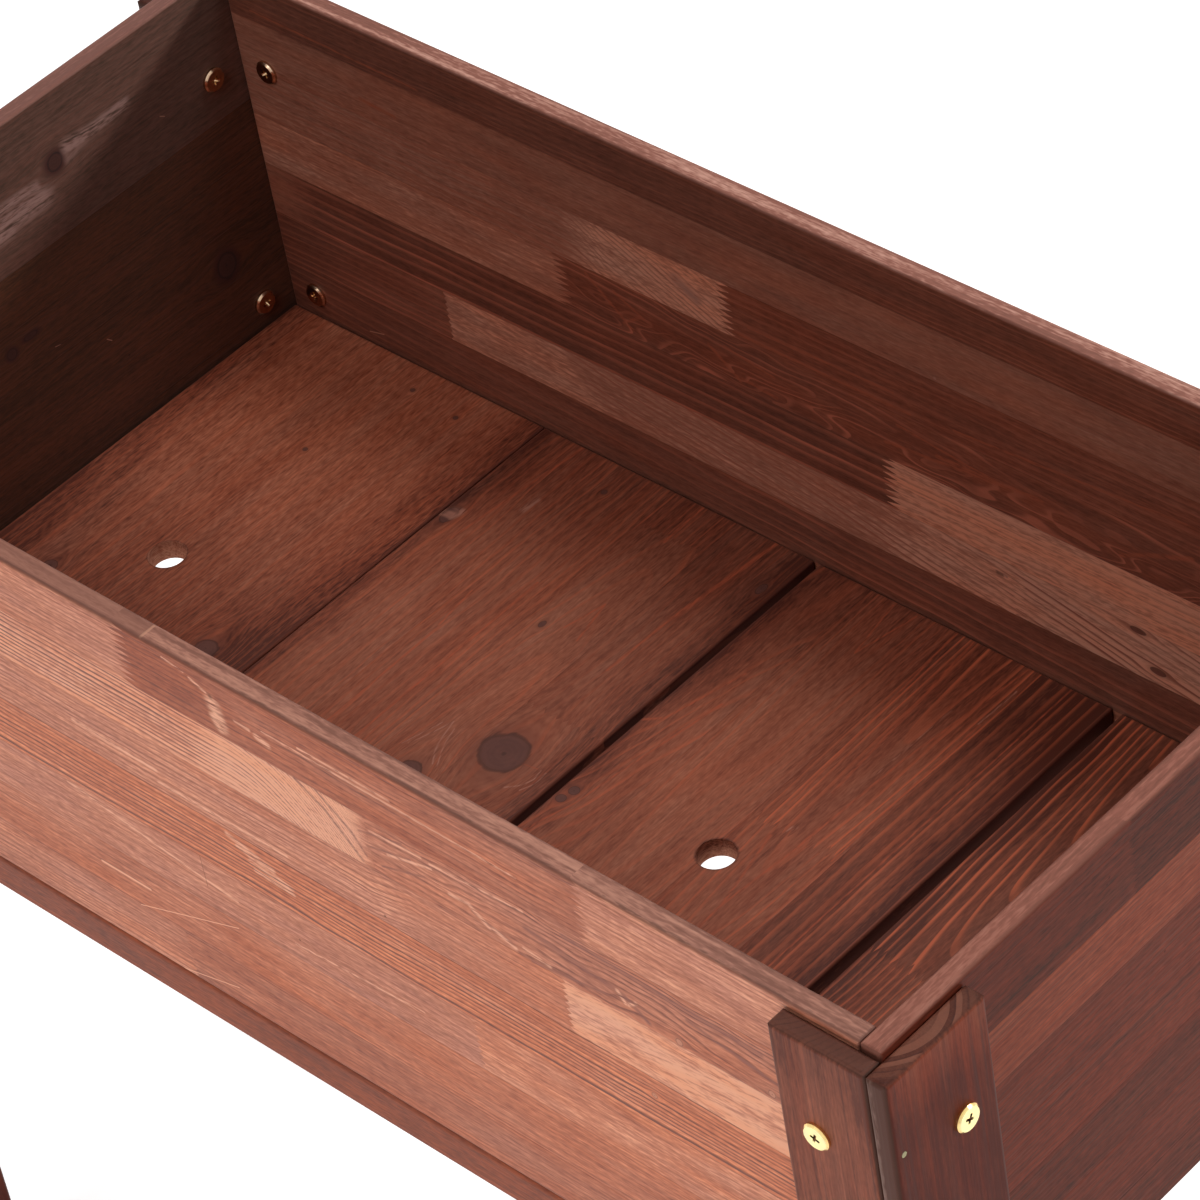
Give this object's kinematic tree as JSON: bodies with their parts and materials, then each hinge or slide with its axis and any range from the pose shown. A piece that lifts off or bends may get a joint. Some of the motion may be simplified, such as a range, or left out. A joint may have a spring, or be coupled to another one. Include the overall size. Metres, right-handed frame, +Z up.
{
  "type": "elevated planter box",
  "caption": "Elevated timber planter: rectangular board-walled trough on L-section legs, with a loose board floor, drain holes and flat-head connector bolts at the corners.",
  "frame": {"origin": "on the floor, under the middle of the box", "axes": "+X along the box's length to the right, +Y from the front panel to the back panel, +Z up"},
  "size_m": [0.87, 0.452, 0.76],
  "materials": {
    "panel_wood": "reddish-brown stain, planed, matt",
    "end_wood": "reddish-brown stain, planed, matt",
    "floor_wood": "reddish-brown stain, planed, matt",
    "rail_wood": "reddish-brown stain, planed, matt",
    "leg_wood": "dark reddish-brown stain, planed, matt",
    "yellow_zinc": "yellow zinc plated, glossy",
    "bright_steel": "bright steel, satin"
  },
  "bodies": {
    "root": {"front_panel": "panel_wood", "back_panel": "panel_wood", "left_end_panel": "end_wood", "right_end_panel": "end_wood", "floor_board_1": "floor_wood", "floor_board_2": "floor_wood", "floor_board_3": "floor_wood", "floor_board_4": "floor_wood", "front_floor_rail": "rail_wood", "back_floor_rail": "rail_wood", "front_left_leg_face_board": "leg_wood", "front_left_leg_end_board": "leg_wood", "front_right_leg_face_board": "leg_wood", "front_right_leg_end_board": "leg_wood", "back_left_leg_face_board": "leg_wood", "back_left_leg_end_board": "leg_wood", "back_right_leg_face_board": "leg_wood", "back_right_leg_end_board": "leg_wood", "front_bolts": "yellow_zinc", "back_bolts": "yellow_zinc", "left_end_bolts": "yellow_zinc", "right_end_bolts": "yellow_zinc", "front_cap_nuts": "yellow_zinc", "back_cap_nuts": "yellow_zinc", "left_end_cap_nuts": "yellow_zinc", "right_end_cap_nuts": "yellow_zinc", "front_left_leg_brads": "bright_steel", "front_right_leg_brads": "bright_steel", "back_left_leg_brads": "bright_steel", "back_right_leg_brads": "bright_steel", "front_rail_screws": "yellow_zinc", "back_rail_screws": "yellow_zinc"}
  },
  "joints": []
}
